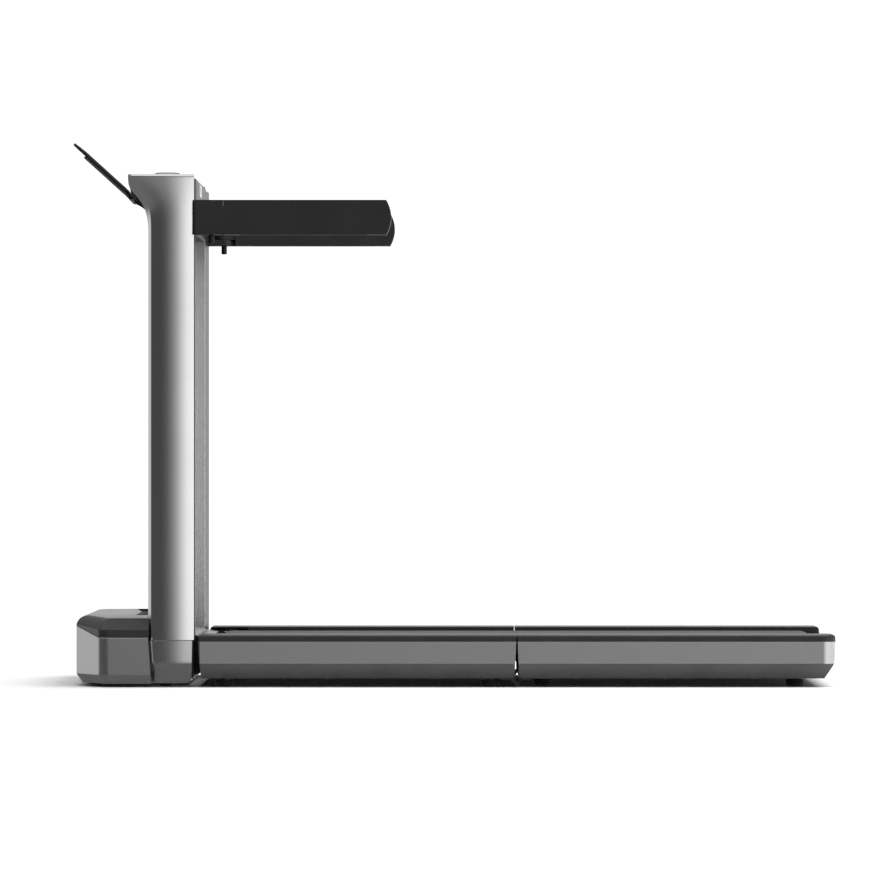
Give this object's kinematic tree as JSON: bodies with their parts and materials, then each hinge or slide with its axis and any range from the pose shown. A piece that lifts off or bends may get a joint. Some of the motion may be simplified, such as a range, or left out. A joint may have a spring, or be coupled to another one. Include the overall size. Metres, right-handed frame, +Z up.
{
  "type": "treadmill",
  "caption": "Slim treadmill with a running deck in two hinged halves that folds up against its columns, folding handles, a tablet holder and a dial.",
  "frame": {"origin": "on the floor, under the middle of the machine's overall length and width", "axes": "+X towards the rear end of the deck, +Y to the right of a runner facing the console, +Z up"},
  "size_m": [1.466, 0.738, 1.047],
  "materials": {
    "silver_shell": "fine metallic paint, satin",
    "column_silver": "bead-blasted, anodised silver",
    "dark_plastic": "fine moulded grain",
    "handle_shell": "soft-touch, fine grain",
    "black_plastic": "moulded",
    "grey_plastic": "moulded, coarse grain",
    "knob_silver": "satin, fine flutes round its edge",
    "side_aluminium": "brushed along its length, anodised",
    "bracket_aluminium": "satin",
    "frame_steel": "black powder coat",
    "bright_steel": "turned",
    "running_belt": "fine diamond texture",
    "rubber": "matte",
    "running_board": "waxed fibreboard",
    "circuit_board": "solder mask",
    "display": "lit from behind"
  },
  "bodies": {
    "base": {"base_frame": "frame_steel", "base_skirt": "silver_shell", "hood": "dark_plastic", "motor": "frame_steel", "drive_belt": "rubber", "controller_board": "circuit_board", "power_inlet": "black_plastic", "column_left": "column_silver", "column_right": "column_silver", "column_foot_left": "silver_shell", "column_foot_right": "silver_shell", "console_shell": "dark_plastic", "display_window": "display", "console_board": "circuit_board", "holder_arm": "frame_steel", "handle_bracket_left": "dark_plastic", "handle_bracket_right": "dark_plastic", "base_foot_left": "rubber", "base_foot_right": "rubber"},
    "motor_pulley": {"motor_pulley": "bright_steel"},
    "power_switch": {"power_switch": "black_plastic"},
    "transport_wheel_left": {"transport_wheel_left": "rubber"},
    "transport_wheel_right": {"transport_wheel_right": "rubber"},
    "knob_stem": {"knob_stem": "bright_steel"},
    "knob": {"knob": "knob_silver"},
    "tablet_holder": {"holder_plate": "black_plastic", "holder_bracket": "bracket_aluminium"},
    "handle_left": {"handle_left": "handle_shell"},
    "handle_right": {"handle_right": "handle_shell"},
    "lock_pin_left": {"lock_pin_left": "black_plastic"},
    "lock_pin_right": {"lock_pin_right": "black_plastic"},
    "deck_front": {"front_deck_frame": "frame_steel", "front_running_board": "running_board", "front_belt": "running_belt", "front_belly_pan": "grey_plastic", "front_rail_cover_left": "dark_plastic", "front_side_panel_left": "side_aluminium", "front_deck_foot_left_1": "rubber", "front_deck_foot_left_2": "rubber", "front_rail_cover_right": "dark_plastic", "front_side_panel_right": "side_aluminium", "front_deck_foot_right_1": "rubber", "front_deck_foot_right_2": "rubber", "hinge_leaf_front": "frame_steel"},
    "front_roller": {"front_roller": "bright_steel"},
    "deck_rear": {"rear_deck_frame": "frame_steel", "rear_running_board": "running_board", "rear_belt": "running_belt", "rear_belly_pan": "grey_plastic", "rear_rail_cover_left": "dark_plastic", "rear_side_panel_left": "side_aluminium", "rear_deck_foot_left_1": "rubber", "rear_deck_foot_left_2": "rubber", "rear_rail_cover_right": "dark_plastic", "rear_side_panel_right": "side_aluminium", "rear_deck_foot_right_1": "rubber", "rear_deck_foot_right_2": "rubber", "rear_end_cap": "dark_plastic", "hinge_leaf_rear": "frame_steel"},
    "rear_roller": {"rear_roller": "bright_steel"}
  },
  "joints": [
    {"name": "deck_lift", "type": "hinge", "parent": "base", "child": "deck_front", "pos_m": [-0.435, 0, 0.069], "axis": [0, -1, 0], "range_deg": [0, 90]},
    {"name": "deck_fold", "type": "hinge", "parent": "deck_front", "child": "deck_rear", "pos_m": [0.1264, 0, 0.006], "axis": [0, 1, 0], "range_deg": [0, 180]},
    {"name": "front_roller_spin", "type": "hinge", "parent": "deck_front", "child": "front_roller", "pos_m": [-0.435, 0, 0.069], "axis": [0, 1, 0], "continuous": true},
    {"name": "rear_roller_spin", "type": "hinge", "parent": "deck_rear", "child": "rear_roller", "pos_m": [0.692, 0, 0.069], "axis": [0, 1, 0], "continuous": true},
    {"name": "motor_pulley_spin", "type": "hinge", "parent": "base", "child": "motor_pulley", "pos_m": [-0.62, 0.25, 0.058], "axis": [0, 1, 0], "continuous": true},
    {"name": "handle_fold_left", "type": "hinge", "parent": "base", "child": "handle_left", "pos_m": [-0.455, -0.344, 0.893], "axis": [0, 0, 1], "range_deg": [0, 90]},
    {"name": "lock_pin_left_pull", "type": "slide", "parent": "base", "child": "lock_pin_left", "axis": [0, 0, -1], "range_m": [0, 0.005], "stiffness_N_per_m": 600, "springref_m": -0.004},
    {"name": "transport_wheel_left_spin", "type": "hinge", "parent": "base", "child": "transport_wheel_left", "pos_m": [-0.672, -0.27, 0.016], "axis": [0, 1, 0], "continuous": true},
    {"name": "handle_fold_right", "type": "hinge", "parent": "base", "child": "handle_right", "pos_m": [-0.455, 0.344, 0.893], "axis": [0, 0, -1], "range_deg": [0, 90]},
    {"name": "lock_pin_right_pull", "type": "slide", "parent": "base", "child": "lock_pin_right", "axis": [0, 0, -1], "range_m": [0, 0.005], "stiffness_N_per_m": 600, "springref_m": -0.004},
    {"name": "transport_wheel_right_spin", "type": "hinge", "parent": "base", "child": "transport_wheel_right", "pos_m": [-0.672, 0.27, 0.016], "axis": [0, 1, 0], "continuous": true},
    {"name": "holder_tilt", "type": "hinge", "parent": "base", "child": "tablet_holder", "pos_m": [-0.612, 0, 0.934], "axis": [0, -1, 0], "range_deg": [-15, 110]},
    {"name": "knob_press", "type": "slide", "parent": "base", "child": "knob_stem", "axis": [0, 0, -1], "range_m": [0, 0.0012], "stiffness_N_per_m": 2000, "springref_m": -0.001},
    {"name": "knob_turn", "type": "hinge", "parent": "knob_stem", "child": "knob", "pos_m": [-0.554, 0, 0.984], "axis": [0, 0, 1], "continuous": true},
    {"name": "power_switch_rock", "type": "hinge", "parent": "base", "child": "power_switch", "pos_m": [-0.709, 0.237, 0.048], "axis": [0, -1, 0], "range_deg": [0, 12]}
  ],
  "couplings": [
    {"joint": "deck_fold", "follows": "deck_lift", "ratio": 2},
    {"joint": "rear_roller_spin", "follows": "front_roller_spin", "ratio": 1},
    {"joint": "motor_pulley_spin", "follows": "front_roller_spin", "ratio": 1.8333}
  ]
}
